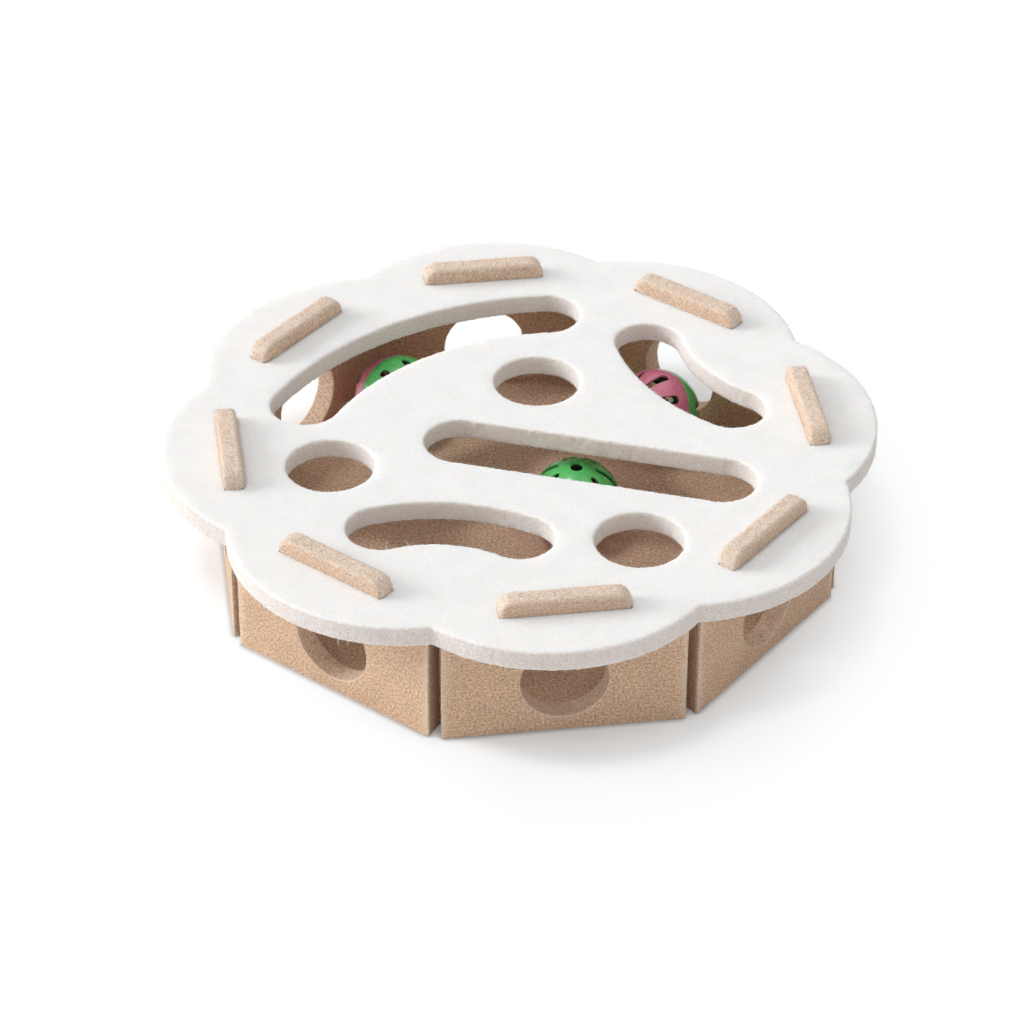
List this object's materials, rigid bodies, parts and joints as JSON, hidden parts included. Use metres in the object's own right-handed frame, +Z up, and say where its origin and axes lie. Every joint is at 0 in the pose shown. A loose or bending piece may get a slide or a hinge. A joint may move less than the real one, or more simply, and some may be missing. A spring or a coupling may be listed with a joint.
{
  "type": "cat play box",
  "caption": "Low felt cat play box: a scalloped felt plate with paw openings drops over the tabs of upright felt walls round a chamber where slotted bell balls roll.",
  "frame": {"origin": "on the ground under the middle of the scalloped plate", "axes": "+Z up; -Y out through the front wall; +X to the right seen from the front"},
  "size_m": [0.327, 0.327, 0.0708],
  "materials": {
    "white_felt": "pressed white felt board with a faint mottle and soft fuzzy edges",
    "tan_felt": "pressed tan felt board, heathered with light and dark fibres",
    "base_felt": "thinner pressed tan felt board",
    "green_plastic": "smooth moulded plastic",
    "pink_plastic": "smooth moulded plastic",
    "bell_metal": "pressed brass-plated sheet",
    "pellet_steel": "plain steel"
  },
  "bodies": {
    "box": {"base_plate": "base_felt", "wall_front": "tan_felt", "wall_front_right": "tan_felt", "wall_right": "tan_felt", "wall_back_right": "tan_felt", "wall_back": "tan_felt", "wall_back_left": "tan_felt", "wall_left": "tan_felt", "wall_front_left": "tan_felt"},
    "lid": {"top_plate": "white_felt"},
    "middle_ball_core": {"middle_ball_bell": "bell_metal", "middle_ball_pellet": "pellet_steel"},
    "middle_ball": {"middle_ball_green_half": "green_plastic", "middle_ball_pink_half": "pink_plastic"},
    "right_ball_core": {"right_ball_bell": "bell_metal", "right_ball_pellet": "pellet_steel"},
    "right_ball": {"right_ball_green_half": "green_plastic", "right_ball_pink_half": "pink_plastic"},
    "back_ball_core": {"back_ball_bell": "bell_metal", "back_ball_pellet": "pellet_steel"},
    "back_ball": {"back_ball_green_half": "green_plastic", "back_ball_pink_half": "pink_plastic"}
  },
  "joints": [
    {"name": "lid_lift", "type": "slide", "parent": "box", "child": "lid", "axis": [0, 0, 1], "range_m": [0, 0.12]},
    {"name": "middle_ball_roll", "type": "slide", "parent": "box", "child": "middle_ball_core", "axis": [1, 0, 0], "range_m": [-0.13, 0.08]},
    {"name": "middle_ball_spin", "type": "hinge", "parent": "middle_ball_core", "child": "middle_ball", "pos_m": [0.025, -0.0055, 0.0258], "axis": [0, 1, 0], "range_deg": [-365, 225]},
    {"name": "right_ball_roll", "type": "slide", "parent": "box", "child": "right_ball_core", "axis": [-0.7071, 0.7071, 0], "range_m": [-0.034, 0.062]},
    {"name": "right_ball_spin", "type": "hinge", "parent": "right_ball_core", "child": "right_ball", "pos_m": [0.07395, 0.06108, 0.0258], "axis": [-0.7071, -0.7071, 0], "range_deg": [-97, 175]},
    {"name": "back_ball_roll", "type": "slide", "parent": "box", "child": "back_ball_core", "axis": [-0.7071, -0.7071, 0], "range_m": [-0.021, 0.074]},
    {"name": "back_ball_spin", "type": "hinge", "parent": "back_ball_core", "child": "back_ball", "pos_m": [-0.0468, 0.08951, 0.0258], "axis": [0.7071, -0.7071, 0], "range_deg": [-60, 208]}
  ],
  "couplings": [
    {"joint": "middle_ball_spin", "follows": "middle_ball_roll", "rad_per_m": 48.781},
    {"joint": "right_ball_spin", "follows": "right_ball_roll", "rad_per_m": 48.781},
    {"joint": "back_ball_spin", "follows": "back_ball_roll", "rad_per_m": 48.781}
  ]
}
